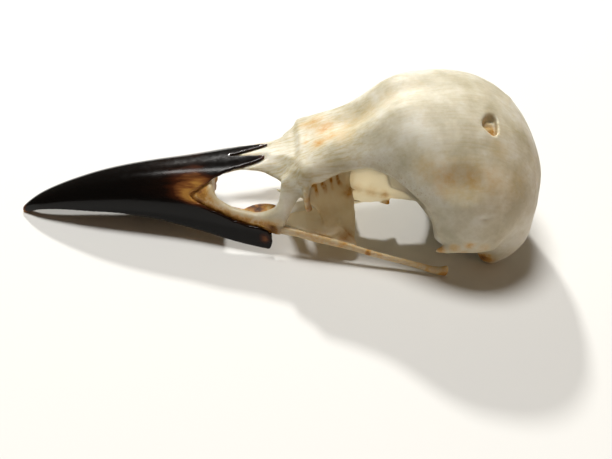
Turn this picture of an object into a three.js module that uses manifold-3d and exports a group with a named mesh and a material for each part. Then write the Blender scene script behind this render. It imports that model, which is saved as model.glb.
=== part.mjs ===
// Skull of a carrion crow without its lower jaw, with the horn sheath still on the upper bill.
// Millimetres, +Z up. The bill points along -X and the bird's left side is -Y. The skull rests on
// the bill's tip and on the two wings beside the neck joint. Along the skull, X is first counted
// from the bill's tip backwards; the last lines move the origin under the middle of the skull.
import * as THREE from 'three';
import { LoftGeometry } from 'three/addons/geometries/LoftGeometry.js';
import { mergeVertices } from 'three/addons/utils/BufferGeometryUtils.js';
import Module from 'manifold-3d';

const wasm = await Module();
wasm.setup();

// ---- driving dimensions, mm -------------------------------------------------------------------

const GAP = 0.3; // the thin cut between neighbouring bones
const HINGE_X = 50; // where the bill bends on the forehead
const ORBIT_BACK_X = 68.5; // cut between forehead and braincase, above the eye sockets
const SIDES = { left: -1, right: 1 };

// The bill, from its tip: each row is [x, value].
const CULMEN_Z = through([[0, 0.9], [1, 2], [3, 3.6], [7, 5.8], [10.5, 7.3], [14, 8.6], [18.5, 9.9],
  [23, 10.9], [32, 12.5], [40, 14.1], [45, 15.4]]);
const TOMIUM_Z = through([[0, -0.1], [0.6, 0.05], [3.5, 1.6], [7, 2.4], [12.5, 3], [18, 3.4], [23, 3.3],
  [28.5, 2.6], [34, 1.9], [39, 1.2], [45, 0.8]]);
const BILL_HALF_WIDTH = through([[0, 0.4], [3.5, 1.9], [7.5, 2.9], [12.5, 4], [18, 4.9], [23, 5.7],
  [28.5, 6.7], [34, 8.1], [39, 9.5], [45, 10.9]]);
const SHEATH_LENGTH = 45;
const SHEATH_THICK = 0.8;
const CORE_START_X = 6; // the bony core stops short of the horn tip
const CORE_END_X = 35.5; // just behind the front of the nostrils
const BILL_STATION = 2.5; // spacing of the bill's sections

// The cranium, from the hinge back: top line, widest half-width, the height of it, and underside.
const CROWN_Z = through([[50, 17.6], [53, 19.2], [56, 20.5], [58, 21.5], [60, 23], [62, 24.9],
  [64, 26.5], [66, 27.5], [68, 28], [70, 28.3], [75, 28.8], [79, 28.5], [83, 27.1], [86.5, 24.8],
  [89.5, 21.4], [91.3, 17.9], [92.2, 15.2]]);
const CROWN_HALF_WIDTH = through([[50, 9], [52, 8.9], [54, 8.7], [57, 8.9], [60, 9.6], [62, 10.3],
  [64, 11.4], [66, 12.9], [68, 14.5], [70, 15.9], [72, 17], [75, 18.4], [78, 18.9], [81, 18.6],
  [84, 17.4], [87, 15.2], [89.5, 11.9], [91.3, 7.4], [92.2, 3]]);
const WAIST_Z = through([[50, 15], [56, 16.4], [62, 17], [66, 15.6], [70, 13.6], [75, 12.8],
  [86, 13.2], [92.2, 14]]);
const BASE_Z = through([[66, 5], [72, 4], [76, 3], [80, 2.4], [84, 3], [87, 5], [89.5, 8],
  [91.3, 11], [92.2, 13]]);
const CROWN_ROUNDNESS = through([[50, 2.9], [60, 3.1], [67, 2.8], [74, 2.3], [80, 2.1]]);
const BASE_ROUNDNESS = through([[66, 2], [73, 2.7], [81, 2.6], [88, 2.1]]);
const GROOVE_DEPTH = through([[50, 0], [55, 0.8], [60, 1.4], [66, 1], [72, 0.3], [78, 0]]);
const CREST_HALF_GAP = 5.2; // the two crests beside the forehead's groove
const CREST_WIDTH = 2.4;

// The eye sockets, each one an ellipsoid: centre and radii, for the left side.
const ORBIT = { centre: [61.3, -13, 8], radii: [11.4, 12.5, 9.6] };
const FRONT_WALL = { centre: [62, -13, 13], radii: [12.4, 12.1, 10.4], thick: 0.9 };
const SEPTUM_THICK = 1.2;
const ROSTRUM_Z = 7.4; // the rod along the septum's lower edge
const UNDER_SEPTUM = { centre: [61.5, 0, -1], radii: [14, 17, 10] }; // the open space below it
const BEHIND_ORBIT = { centre: [64, -9, 3], radii: [10.5, 10, 8] }; // and on each side of that

const bone = new THREE.MeshStandardMaterial({ name: 'bone', color: 0xe3dcc4, roughness: 0.55 });
const horn = new THREE.MeshStandardMaterial({ name: 'horn', color: 0x0e0b0a, roughness: 0.22 });

// ---- making and cutting solids ----------------------------------------------------------------

/** A smooth curve through [x, value] rows that never overshoots them, level beyond its ends. */
function through(rows) {
  const steps = rows.slice(1).map(([x, v], i) => (v - rows[i][1]) / (x - rows[i][0]));
  const slopes = rows.map((_, i) => {
    const before = steps[i - 1];
    const after = steps[i];
    if (before === undefined || after === undefined) return before ?? after;
    return before * after <= 0 ? 0 : 2 * before * after / (before + after);
  });
  return (x) => {
    const last = rows.length - 1;
    if (x <= rows[0][0]) return rows[0][1];
    if (x >= rows[last][0]) return rows[last][1];
    const i = rows.findIndex(([next]) => next > x) - 1;
    const width = rows[i + 1][0] - rows[i][0];
    const t = (x - rows[i][0]) / width;
    const ease = t * t * (3 - 2 * t);
    return rows[i][1] * (1 - ease) + rows[i + 1][1] * ease
      + width * t * (1 - t) * (slopes[i] * (1 - t) - slopes[i + 1] * t);
  };
}

/** Evenly spaced numbers from one to another, both ends included. */
function range(from, to, steps) {
  return Array.from({ length: steps + 1 }, (_, i) => from + (to - from) * i / steps);
}

/** A closed three.js geometry as a manifold solid, for cutting and joining. */
function solid(geometry) {
  const bare = new THREE.BufferGeometry().copy(geometry);
  bare.deleteAttribute('normal');
  bare.deleteAttribute('uv');
  const merged = mergeVertices(bare, 1e-4);
  return new wasm.Manifold(new wasm.Mesh({
    numProp: 3,
    vertProperties: merged.attributes.position.array,
    triVerts: new Uint32Array(merged.index.array),
  }));
}

/** A manifold solid as a named three.js mesh. */
function meshOf(name, shape, material) {
  const { vertProperties, triVerts } = shape.getMesh();
  const geometry = new THREE.BufferGeometry();
  geometry.setAttribute('position', new THREE.BufferAttribute(new Float32Array(vertProperties), 3));
  geometry.setIndex(new THREE.BufferAttribute(new Uint32Array(triVerts), 1));
  geometry.computeVertexNormals();
  const mesh = new THREE.Mesh(geometry, material);
  mesh.name = name;
  return mesh;
}

const joined = (...shapes) => shapes.reduce((sum, shape) => sum.add(shape));
const cut = (shape, ...tools) => tools.reduce((rest, tool) => rest.subtract(tool), shape);

/** The largest of a shape's separate bodies, which drops slivers that a cut leaves loose. */
function largest(shape) {
  return shape.decompose().sort((a, b) => b.volume() - a.volume())[0];
}

/** Sections, each a ring of points, skinned into a closed solid. */
const loft = (sections) => solid(new LoftGeometry(sections, { capStart: true, capEnd: true }));

function ellipsoid([x, y, z], [rx, ry, rz], columns = 28, rows = 18) {
  const ball = new THREE.SphereGeometry(1, columns, rows).rotateX(Math.PI / 2);
  return solid(ball.scale(rx, ry, rz).translate(x, y, z));
}

function block([x0, y0, z0], [x1, y1, z1]) {
  return solid(new THREE.BoxGeometry(x1 - x0, y1 - y0, z1 - z0)
    .translate((x0 + x1) / 2, (y0 + y1) / 2, (z0 + z1) / 2));
}

/** A plate with an outline in the side view, [x, z], between two depths across the skull. */
function sidePlate(outline, y0, y1) {
  const shape = new THREE.Shape(outline.map(([x, z]) => new THREE.Vector2(x, z)));
  const geometry = new THREE.ExtrudeGeometry(shape, { depth: y1 - y0, bevelEnabled: false });
  return solid(geometry.rotateX(Math.PI / 2).translate(0, y1, 0));
}

/** A rod through points [x, y, z, half-width across, half-height], round in section. */
function rod(points, steps = 12, columns = 10) {
  const places = points.map(([x, y, z]) => new THREE.Vector3(x, y, z));
  const spine = new THREE.CatmullRomCurve3(places, false, 'centripetal');
  const at = (t, k) => {
    const place = t * (points.length - 1);
    const i = Math.min(Math.floor(place), points.length - 2);
    return THREE.MathUtils.lerp(points[i][k], points[i + 1][k], place - i);
  };
  return loft(range(0, 1, steps).map((t) => {
    const centre = spine.getPoint(t);
    const along = spine.getTangent(t);
    const across = new THREE.Vector3(-along.y, along.x, 0).normalize();
    const upward = new THREE.Vector3().crossVectors(along, across);
    return range(0, 2 * Math.PI, columns).slice(0, -1).map((angle) => centre.clone()
      .addScaledVector(across, at(t, 3) * Math.cos(angle))
      .addScaledVector(upward, at(t, 4) * Math.sin(angle)));
  }));
}

/** The same solid on the other side of the skull. */
const onSide = (side, shape) => (side < 0 ? shape : shape.mirror([0, 1, 0]));

// ---- the bill ---------------------------------------------------------------------------------

const RIDGE_SHARPNESS = 0.86; // under 1 pinches the sides in towards the ridge
const PALATE_RISE = 0.32; // how far the roof of the mouth is hollowed, as a share of the bill's height

/** Height of the roof of the mouth, hollowed between the bill's two cutting edges. */
function palateZ(x, y) {
  const rise = PALATE_RISE * Math.min(x / 12, 1) * (CULMEN_Z(x) - TOMIUM_Z(x));
  return TOMIUM_Z(x) + rise * (1 - (y / BILL_HALF_WIDTH(x)) ** 2);
}

/** One section of the bill at x, shrunk by inset: over the ridge, then back along the mouth's roof. */
function billSection(x, inset) {
  const width = Math.max(BILL_HALF_WIDTH(x) - inset, 0.15);
  const low = palateZ(x, width) + inset;
  const tall = Math.max(CULMEN_Z(x) - inset - low, 0.2);
  const over = range(0, Math.PI, 12).map((angle) => new THREE.Vector3(
    x,
    width * Math.sign(Math.cos(angle)) * Math.abs(Math.cos(angle)) ** RIDGE_SHARPNESS,
    low + tall * Math.sin(angle) ** 0.95,
  ));
  const back = range(-1, 1, 4).slice(1, -1).map((share) => (
    new THREE.Vector3(x, width * share, palateZ(x, width * share) + inset)));
  return [...over, ...back];
}

/** A stretch of the bill between two places, with its sections at even stations between them. */
function billBody(from, to, inset) {
  const stations = range(0, 20, 20).map((i) => i * BILL_STATION);
  const between = stations.filter((x) => x > from + 0.5 && x < to - 0.5);
  return loft([from, ...between, to].map((x) => billSection(x, inset)));
}

// The sheath's back edge in the side view: a short prong beside the ridge, a bay in front of the
// nostril, and a longer prong along the mouth's edge.
const SHEATH_BAY = [[30, 9.2], [32, 10.6], [34, 11.7], [36, 12.3], [38.5, 12.9], [41, 13.6],
  [43.4, 14.6], [47, 19], [60, 19], [60, 4.2], [45, 4], [42.8, 4.1], [40, 5], [37.4, 6],
  [34.8, 6.9], [32.5, 7.8]];
const RIDGE_SLOT = { x: 35.5, halfWidth: 2.3 };
const RIGHT_CHIP = { x: 36.2, z: 5.3 }; // the right edge of the bill is broken off behind x, up to z

function sheath() {
  const outer = billBody(0, SHEATH_LENGTH, 0);
  const core = billBody(CORE_START_X, SHEATH_LENGTH + 4, SHEATH_THICK);
  const slot = loft(range(0, 1, 3).map((t) => {
    const x = RIDGE_SLOT.x + t * 14;
    const half = 0.2 + RIDGE_SLOT.halfWidth * Math.sqrt(t);
    const corners = [[half, 30], [-half, 30], [-half, 10], [half, 10]];
    return corners.map(([y, z]) => new THREE.Vector3(x, y, z));
  }));
  const chip = block([RIGHT_CHIP.x, 0, -5], [60, 20, RIGHT_CHIP.z]);
  const mouth = block([31, -5.6, -2], [60, 5.6, 7.2]);
  const floor = block([-5, -5, -5], [5, 5, 0]);
  return largest(cut(outer, core, sidePlate(SHEATH_BAY, -20, 20), slot, chip, mouth, floor));
}

/** The bone inside the sheath, as far as the front of the nostrils. */
function premaxilla() {
  const core = billBody(CORE_START_X + GAP, CORE_END_X, SHEATH_THICK + GAP);
  const nostrilFront = ellipsoid([40.6, 0, 10.3], [6.5, 30, 3], 16, 12);
  return largest(cut(core, nostrilFront));
}

/** The bone over the nostrils, a ridge with sloping sides that widens into the forehead's bend. */
function nasalBridge() {
  const ridgeHalf = through([[35.8, 1.6], [44, 2], [46, 2.4], [47.7, 4.4], [49.7, 7.4]]);
  const ridgeZ = through([[35.8, 12.9], [40, 13.8], [43, 14.6], [46, 15.5], [49.7, 16.9]]);
  const edgeHalf = through([[35.8, 3.2], [40, 3.6], [43, 4.3], [46, 6.3], [49.7, 8.8]]);
  const edgeZ = through([[35.8, 11.1], [39, 12.3], [42.7, 12.5], [45, 12.1], [46.5, 12.1],
    [49.7, 14]]);
  const undersideZ = through([[35.8, 11], [40, 12.2], [44, 13], [49.7, 14.8]]);
  const edgeThick = 0.9;
  return loft(range(CORE_END_X + GAP, HINGE_X - GAP, 8).map((x) => [
    [edgeHalf(x), edgeZ(x)],
    [edgeHalf(x), edgeZ(x) + edgeThick],
    [ridgeHalf(x), ridgeZ(x)],
    [-ridgeHalf(x), ridgeZ(x)],
    [-edgeHalf(x), edgeZ(x) + edgeThick],
    [-edgeHalf(x), edgeZ(x)],
    [-ridgeHalf(x), undersideZ(x)],
    [ridgeHalf(x), undersideZ(x)],
  ].map(([y, z]) => new THREE.Vector3(x, y, z))));
}

/** The upright plate below each nostril, which the strut and the cheek bar grow from. */
function maxilla(side) {
  const topY = through([[35.8, 6.7], [38, 7.6], [41, 8.3], [46.4, 9]]);
  const topZ = through([[35.8, 7.9], [38, 7.7], [41, 7.6], [43.5, 7.9], [46.4, 9.2]]);
  const lowY = through([[35.8, 7.3], [46.4, 9.8]]);
  const lowZ = side < 0 ? through([[35.8, 2.8], [43, 2.8], [46.4, 4.6]]) : () => RIGHT_CHIP.z;
  const thick = 1.3;
  const plate = loft(range(CORE_END_X + GAP, 46.4, 7).map((x) => [
    [-topY(x), topZ(x)],
    [-lowY(x), lowZ(x)],
    [-lowY(x) + thick, lowZ(x)],
    [-topY(x) + thick, topZ(x)],
  ].map(([y, z]) => new THREE.Vector3(x, y, z))));
  return onSide(side, plate);
}

/** The strut behind each nostril, from the bridge down to the plate below it. */
function nasalBar(side) {
  const strut = rod([[48.7, -7.8, 13.8, 0.6, 1.4], [48, -8.3, 11.7, 0.6, 1.6],
    [46.7, -8.8, 9.8, 0.6, 1.6], [45, -9.1, 8.2, 0.6, 1.6]], 6, 8);
  return onSide(side, strut);
}

// ---- the cranium ------------------------------------------------------------------------------

/** How far the groove and its two crests move the forehead's top at a place across it. */
function groove(x, y) {
  const crest = Math.exp(-(((Math.abs(y) - CREST_HALF_GAP) / CREST_WIDTH) ** 2));
  return GROOVE_DEPTH(x) * (0.5 * crest - 0.6 * Math.exp(-((y / CREST_WIDTH) ** 2)));
}

/** One section of the whole cranium at x, as a superellipse with the groove on top. */
function craniumSection(x, columns = 30) {
  const wide = CROWN_HALF_WIDTH(x);
  const waist = WAIST_Z(x);
  return range(0, 2 * Math.PI, columns).slice(0, -1).map((angle) => {
    const [c, s] = [Math.cos(angle), Math.sin(angle)];
    const power = 2 / (s > 0 ? CROWN_ROUNDNESS(x) : BASE_ROUNDNESS(x));
    const y = wide * Math.sign(c) * Math.abs(c) ** power;
    const reach = s > 0 ? CROWN_Z(x) - waist : waist - BASE_Z(x);
    const z = waist + reach * Math.sign(s) * Math.abs(s) ** power;
    return new THREE.Vector3(x, y, s > 0 ? z + groove(x, y) * s : z);
  });
}

const cranium = (from, to, steps) => loft(range(from, to, steps).map((x) => craniumSection(x)));
const bothSides = (shape) => joined(...Object.values(SIDES).map((side) => onSide(side, shape)));
const orbits = () => bothSides(ellipsoid(ORBIT.centre, ORBIT.radii, 26, 18));

/** The roof over the eyes, from the bill's bend to the braincase. */
function forehead() {
  const roof = cranium(HINGE_X, ORBIT_BACK_X, 10);
  const under = block([40, -20, -5], [ORBIT_BACK_X + 1, 20, 13.6]);
  return largest(cut(roof, orbits(), under));
}

/** A wing beside the neck joint, stacked from flat ovals [z, x, y, half-length, half-width]. */
function wing(rows) {
  const angles = range(0, 2 * Math.PI, 12).slice(0, -1);
  return loft(rows.map(([z, x, y, along, across]) => angles.map((angle) => (
    new THREE.Vector3(x + along * Math.cos(angle), y + across * Math.sin(angle), z)))));
}

/** The rounded back of the skull with its processes, the neck joint and the two resting wings. */
function braincase() {
  const dome = cranium(ORBIT_BACK_X + GAP, 92.2, 12);
  const underSeptum = ellipsoid(UNDER_SEPTUM.centre, UNDER_SEPTUM.radii, 20, 14);
  const behindOrbits = bothSides(ellipsoid(BEHIND_ORBIT.centre, BEHIND_ORBIT.radii, 20, 14));
  const ears = bothSides(ellipsoid([77.4, -14, 2.6], [3.2, 5, 3.6], 12, 8));
  const wings = bothSides(wing([[-0.1, 84.2, -11.3, 0.9, 1.1], [2, 84, -11.8, 2.3, 1.5],
    [4.2, 84.6, -12.1, 3.7, 2.3], [7.5, 85.6, -11.8, 4.1, 3.4], [12, 85.2, -10.6, 4.4, 4.4]]));
  const condyle = ellipsoid([86.6, 0, 4.4], [1.5, 1.4, 1.3], 12, 8);
  const spurs = bothSides(rod([[81, -16.6, 7.6, 1.4, 1.4], [76.5, -17.2, 6.4, 0.7, 0.9],
    [72.8, -16.8, 5.7, 0.35, 0.35]], 5, 8));
  const neckBall = new THREE.SphereGeometry(1, 14, 10).scale(4, 2.9, 2.4).rotateY(0.6);
  const neckHole = solid(neckBall.translate(89.4, 0, 7.6));
  const floor = block([60, -30, -10], [100, 30, 0]);
  const outer = cut(dome, orbits(), underSeptum, behindOrbits, ears);
  return largest(cut(joined(outer, wings, condyle, spurs), neckHole, floor));
}

/** The thin upright wall between the eyes, with the rod along its lower edge. */
function septum() {
  const wall = sidePlate([[53, 13.2], [54, 9.6], [58, ROSTRUM_Z], [75, ROSTRUM_Z - 1.2], [75, 13.2]],
    -SEPTUM_THICK / 2, SEPTUM_THICK / 2);
  const rostrum = rod([[51, 0, 9, 0.8, 0.8], [58, 0, ROSTRUM_Z, 0.9, 0.8],
    [66, 0, ROSTRUM_Z - 0.5, 1, 0.8], [75, 0, ROSTRUM_Z - 1.4, 1.3, 1]], 8, 8);
  return joined(wall, rostrum);
}

/** The hollow front wall of each eye socket, down to the foot that reaches the cheek bar. */
function frontWall(side) {
  const { centre, radii, thick } = FRONT_WALL;
  const outer = ellipsoid(centre, radii.map((r) => r + thick), 28, 20);
  const shell = cut(outer, ellipsoid(centre, radii, 28, 20));
  const outline = [[48, 13.3], [49.6, 9.4], [52.4, 7], [54.8, 4.4], [57.6, 2.2], [60.4, 2.2],
    [60.4, 7], [57.4, 10.4], [56, 13.3]];
  const reach = sidePlate(outline, -11.9, -SEPTUM_THICK / 2 - GAP - 0.3);
  return onSide(side, largest(shell.intersect(reach)));
}

// ---- the palate and the cheek bars ------------------------------------------------------------

const PALATINE_OUTLINE = [[35.8, -4.8], [46, -7.9], [52, -8.5], [57, -8.8], [60, -7.2], [62.5, -3.4],
  [66.5, -2], [66.5, -1], [58, -0.9], [52, -4], [46, -6.6], [35.8, -3.4]];
const PALATINE_Z = [4.6, 5.5];

function palatine(side) {
  const shape = new THREE.Shape(PALATINE_OUTLINE.map(([x, y]) => new THREE.Vector2(x, y)));
  const depth = PALATINE_Z[1] - PALATINE_Z[0];
  const plate = new THREE.ExtrudeGeometry(shape, { depth, bevelEnabled: false });
  return onSide(side, solid(plate.translate(0, 0, PALATINE_Z[0])));
}

function jugal(side) {
  return onSide(side, rod([[45.2, -10.1, 4.5, 0.7, 1.2], [53, -11.7, 4, 0.5, 0.95],
    [60, -13, 2.9, 0.45, 0.8], [68, -14.5, 2.2, 0.45, 0.75], [72.5, -15.3, 1.3, 0.55, 0.8],
    [75.2, -15.8, 1.15, 0.8, 0.9]], 14, 8));
}

// ---- the skull --------------------------------------------------------------------------------

const skull = new THREE.Group();
const placed = [];

/** Adds a bone to the skull, cut back to a gap where it would run into the pieces already there. */
function place(name, shape, material) {
  const shifts = [[0, 0, 0], [GAP, 0, 0], [-GAP, 0, 0], [0, GAP, 0], [0, -GAP, 0], [0, 0, GAP],
    [0, 0, -GAP]];
  const crossed = placed.filter((other) => shape.intersect(other).volume() > 0);
  const tools = crossed.flatMap((other) => shifts.map((shift) => other.translate(shift)));
  const fitted = largest(cut(shape, ...tools));
  placed.push(fitted);
  skull.add(meshOf(name, fitted, material));
}

place('beak_sheath', sheath(), horn);
place('premaxilla', premaxilla(), bone);
place('forehead', forehead(), bone);
place('nasal_bridge', nasalBridge(), bone);
place('braincase', braincase(), bone);
place('orbital_septum', septum(), bone);
for (const [name, side] of Object.entries(SIDES)) {
  place(`maxilla_${name}`, maxilla(side), bone);
  place(`nasal_bar_${name}`, nasalBar(side), bone);
  place(`jugal_${name}`, jugal(side), bone);
  place(`front_wall_${name}`, frontWall(side), bone);
  place(`palatine_${name}`, palatine(side), bone);
}

const bounds = new THREE.Box3().setFromObject(skull);
skull.position.set(-(bounds.min.x + bounds.max.x) / 2, 0, -bounds.min.z);

export default skull;
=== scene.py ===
"""Skull of a carrion crow without its lower jaw: dry, bleached bone with the black horn of the
upper bill still on it. The bone is grown on a fine grid from the same measures as its solids, so
that walls, struts and struts' feet run into each other with rounded corners, as real bone does.

Along the skull, x is counted in millimetres from the tip of the bill backwards; y is negative on
the bird's left side; z is the height above the table. The meshes are moved into metres, with the
origin under the middle of the skull, as they are made."""
import math

import bpy
import numpy as np
import openvdb
from mathutils import Matrix, Vector


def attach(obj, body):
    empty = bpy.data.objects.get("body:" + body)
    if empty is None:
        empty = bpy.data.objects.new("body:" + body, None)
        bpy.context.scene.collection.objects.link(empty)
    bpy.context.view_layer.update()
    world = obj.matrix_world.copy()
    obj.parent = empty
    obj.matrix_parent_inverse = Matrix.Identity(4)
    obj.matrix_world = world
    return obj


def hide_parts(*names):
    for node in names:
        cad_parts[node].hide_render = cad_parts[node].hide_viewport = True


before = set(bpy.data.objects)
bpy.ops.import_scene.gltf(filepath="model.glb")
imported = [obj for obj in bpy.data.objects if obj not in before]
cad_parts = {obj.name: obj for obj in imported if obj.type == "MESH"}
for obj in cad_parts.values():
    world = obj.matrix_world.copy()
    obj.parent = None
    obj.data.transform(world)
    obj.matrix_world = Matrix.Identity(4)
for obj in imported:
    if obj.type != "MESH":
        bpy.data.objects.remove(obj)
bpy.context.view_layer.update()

# ---- measures ---------------------------------------------------------------------------------

MM = 0.001
MIDDLE_X = 46.1  # mm from the bill's tip to the middle of the skull, which is the origin
BONE_GRID = 0.25  # mm between the points that the fused bones grow on
FINE_GRID = 0.15  # the same for the horn and the cheek bars
FAR = 3.0  # mm, the most that a form's distance is told to
CURVE_STEP = 0.1  # mm between the places where a softened curve is reckoned


def through(rows, soften=0.0):
    """A curve through [place, value] rows that never overshoots them, softened over some mm."""
    place, value = np.array(rows, float).T
    step = np.diff(value) / np.diff(place)
    before, after = np.r_[step[0], step], np.r_[step, step[-1]]
    total = before + after
    slope = np.where(before * after > 0, 2 * before * after / np.where(total == 0, 1, total), 0)

    def curve(x):
        x = np.clip(x, place[0], place[-1])
        i = np.clip(np.searchsorted(place, x, side="right") - 1, 0, len(step) - 1)
        width = place[i + 1] - place[i]
        t = (x - place[i]) / width
        ease = t * t * (3 - 2 * t)
        bend = slope[i] * (1 - t) - slope[i + 1] * t
        return value[i] * (1 - ease) + value[i + 1] * ease + width * t * (1 - t) * bend

    if not soften:
        return curve
    fine = np.arange(place[0], place[-1] + 1e-6, CURVE_STEP)
    reach = round(3 * soften / CURVE_STEP)
    weight = np.exp(-0.5 * (np.arange(-reach, reach + 1) * CURVE_STEP / soften) ** 2)
    line = curve(fine)
    turned = np.r_[2 * line[0] - line[reach:0:-1], line, 2 * line[-1] - line[-2:-reach - 2:-1]]
    soft = np.convolve(turned, weight / weight.sum(), "valid")
    return lambda x: np.interp(x, fine, soft)


# The bill, from its tip.
CULMEN_Z = through([[0, 0.9], [1, 2], [3, 3.6], [7, 5.8], [10.5, 7.3], [14, 8.6], [18.5, 9.9],
                    [23, 10.9], [32, 12.5], [40, 14.1], [45, 15.4], [50, 16.8]], 0.6)
TOMIUM_Z = through([[0, -0.1], [0.6, 0.05], [3.5, 1.6], [7, 2.4], [12.5, 3], [18, 3.4], [23, 3.3],
                    [28.5, 2.6], [34, 1.9], [39, 1.2], [45, 0.8], [50, 0.6]])
BILL_HALF_WIDTH = through([[0, 0.4], [3.5, 1.9], [7.5, 2.9], [12.5, 4], [18, 4.9], [23, 5.7],
                           [28.5, 6.7], [34, 8.1], [39, 9.5], [45, 10.9], [50, 11.6]], 0.6)
RIDGE_SHARPNESS = 0.86
FLANK_SHARPNESS = 0.95
PALATE_RISE = 0.32  # the palate's rise in the middle, as a share of the bill's height
PALATE_RISES_OVER = 12
PALATE_STEEPNESS = 0.9  # turns a height over the sloping palate into a distance from it
CHIP_DEPTH = 5.0  # how much of the right cutting edge is broken off behind
CHIP_STARTS_X = (32.6, 35)
SHEATH_END_X = 45.0
SHEATH_THICK = 0.8
SHEATH_EDGE_THICK = 0.5
SHEATH_THINS_OVER = 6  # mm in front of its back edge
CORE_START_X = 6.3  # the bony core stops short of the horn's tip
CORE_END_X = 46.6
CORE_WALL = 1.25
CORE_HOLLOW_FROM_X = 34.6
CORE_GAP = 0.06  # between the horn and the bone under it
CORE_STEP = 0.42  # the bone behind the horn's edge stands that much higher than under it

# The cranium, from the bend behind the bill backwards.
CRANIUM_START_X, CRANIUM_END_X = 48.9, 92.2
CROWN_Z = through([[49, 17.2], [50, 17.6], [53, 19.2], [56, 20.5], [58, 21.5], [60, 23],
                   [62, 24.9], [64, 26.5], [66, 27.5], [68, 28], [70, 28.3], [75, 28.8],
                   [79, 28.5], [83, 27.1], [86.5, 24.8], [89.5, 21.4], [91.3, 17.9],
                   [92.05, 15.4], [92.2, 14.3]], 0.35)
CROWN_HALF_WIDTH = through([[49, 9], [50, 9], [52, 8.9], [54, 8.7], [57, 8.9], [60, 9.6],
                            [62, 10.3], [64, 11.4], [66, 12.9], [68, 14.5], [70, 15.9], [72, 17],
                            [75, 18.4], [78, 18.9], [81, 18.6], [84, 17.4], [87, 15.2],
                            [89.5, 11.9], [91.3, 7.4], [92.05, 3.2], [92.2, 0.5]], 0.35)
WAIST_Z = through([[49, 15], [56, 16.4], [62, 17], [66, 15.6], [70, 13.6], [75, 12.8],
                   [86, 13.2], [92.2, 14]], 1.2)
BASE_Z = through([[49, 8.4], [56, 7.2], [61, 6.6], [66, 6], [70, 5.3], [72, 4.8], [74, 3.6],
                  [76, 3], [80, 2.4], [84, 3], [87, 5], [89.5, 8], [91.3, 11], [92.05, 13],
                  [92.2, 13.7]], 0.35)
CROWN_ROUNDNESS = through([[49, 2.9], [60, 3.1], [67, 2.8], [74, 2.3], [80, 2.1], [93, 2.1]], 1.5)
BASE_ROUNDNESS = through([[49, 2], [66, 2], [73, 2.7], [81, 2.6], [88, 2.1], [93, 2.1]], 1.5)
GROOVE_DEPTH = through([[49, 0], [55, 0.8], [60, 1.4], [66, 1], [72, 0.3], [78, 0], [93, 0]], 1)
CREST_HALF_GAP = 5.2
CREST_WIDTH = 2.4
ROOF_HOLE_DEPTH = 1.5

# Half the thickness of the thin walls.
FRONT_WALL_HALF = 0.42
SEPTUM_HALF = 0.36
PALATINE_HALF = 0.36
PALATE_SHELF_HALF = 0.3

# ---- blocks of space, and ways to join and cut forms in them ----------------------------------


def step_between(low, high, value):
    """0 below low, 1 above high, and an even curve between them."""
    t = np.clip((value - low) / (high - low), 0, 1)
    return t * t * (3 - 2 * t)


def united(a, b, fillet):
    """Two forms as one, with a fillet of about that many mm in the corner between them."""
    if not fillet:
        return np.minimum(a, b)
    share = np.clip(0.5 + 0.5 * (b - a) / fillet, 0, 1)
    return b + (a - b) * share - fillet * share * (1 - share)


def common(a, b, fillet):
    """What two forms share, with its edge rounded."""
    return -united(-a, -b, fillet)


def level(form, x):
    """A form's values turned into true millimetres near its surface."""
    slopes = np.gradient(form, float(x.flat[1] - x.flat[0]))
    return form / np.sqrt(sum(slope * slope for slope in slopes) + 1e-6)


def ellipsoid(place, centre, radii):
    """Distance to an ellipsoid, true near its surface."""
    parts = [(p - c) / r for p, c, r in zip(place, centre, radii)]
    near = np.sqrt(sum(p * p for p in parts))
    steep = np.sqrt(sum((p / r) ** 2 for p, r in zip(parts, radii)))
    return near * (near - 1) / np.maximum(steep, 1e-6)


def ball(centre, radii, paired=True):
    """An ellipsoid, given on the left side, and its twin on the right if it is paired."""
    def form(x, y, z):
        across = -np.abs(y) if paired and centre[1] else y
        return ellipsoid((x, across, z), centre, radii)
    return form


def outlined(u, v, corners):
    """Distance to an outline in two directions; a corner may change along the third."""
    nearest, crossings = None, None
    for (u0, v0), (u1, v1) in zip(corners, corners[1:] + corners[:1]):
        du, dv = u1 - u0, v1 - v0
        t = np.clip(((u - u0) * du + (v - v0) * dv) / (du * du + dv * dv), 0, 1)
        gap = (u - u0 - t * du) ** 2 + (v - v0 - t * dv) ** 2
        flat = np.where(dv == 0, 1e-9, dv)
        crossed = ((v0 > v) != (v1 > v)) & (u < u0 + (v - v0) * du / flat)
        nearest = gap if nearest is None else np.minimum(nearest, gap)
        crossings = crossed if crossings is None else crossings ^ crossed
    return np.where(crossings, -1, 1) * np.sqrt(nearest)


def curved(rows, per_side, closed=True):
    """More rows between the given ones, on a smooth curve through them."""
    at = np.array(rows, float)
    if closed:
        before, after, beyond = np.roll(at, 1, 0), np.roll(at, -1, 0), np.roll(at, -2, 0)
    else:
        ends = np.vstack([2 * at[0] - at[1], at, 2 * at[-1] - at[-2]])
        before, at, after, beyond = ends[:-3], ends[1:-2], ends[2:-1], ends[3:]
    share = (np.arange(per_side) / per_side)[None, :, None]
    before, at, after, beyond = (each[:, None, :] for each in (before, at, after, beyond))
    made = 0.5 * (2 * at + (after - before) * share
                  + (2 * before - 5 * at + 4 * after - beyond) * share ** 2
                  + (3 * at - before - 3 * after + beyond) * share ** 3)
    made = made.reshape(-1, made.shape[-1])
    return made if closed else np.vstack([made, rows[-1]])


def rounded(corners, per_side=4):
    """An outline through the given corners without a kink."""
    return [tuple(corner) for corner in curved(corners, per_side)]


def ripples(place, length, seed):
    """A soft, uneven wave over the place, between about -1 and 1, of some mm in length."""
    dice = np.random.default_rng(seed)
    waves = 7
    total = 0
    for _ in range(waves):
        heading = dice.normal(size=3)
        heading *= 2 * math.pi / (length * dice.uniform(0.7, 1.5) * np.linalg.norm(heading))
        total = total + np.sin(sum(h * p for h, p in zip(heading, place)) + dice.uniform(0, 6.3))
    return total / waves * 1.6


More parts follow.
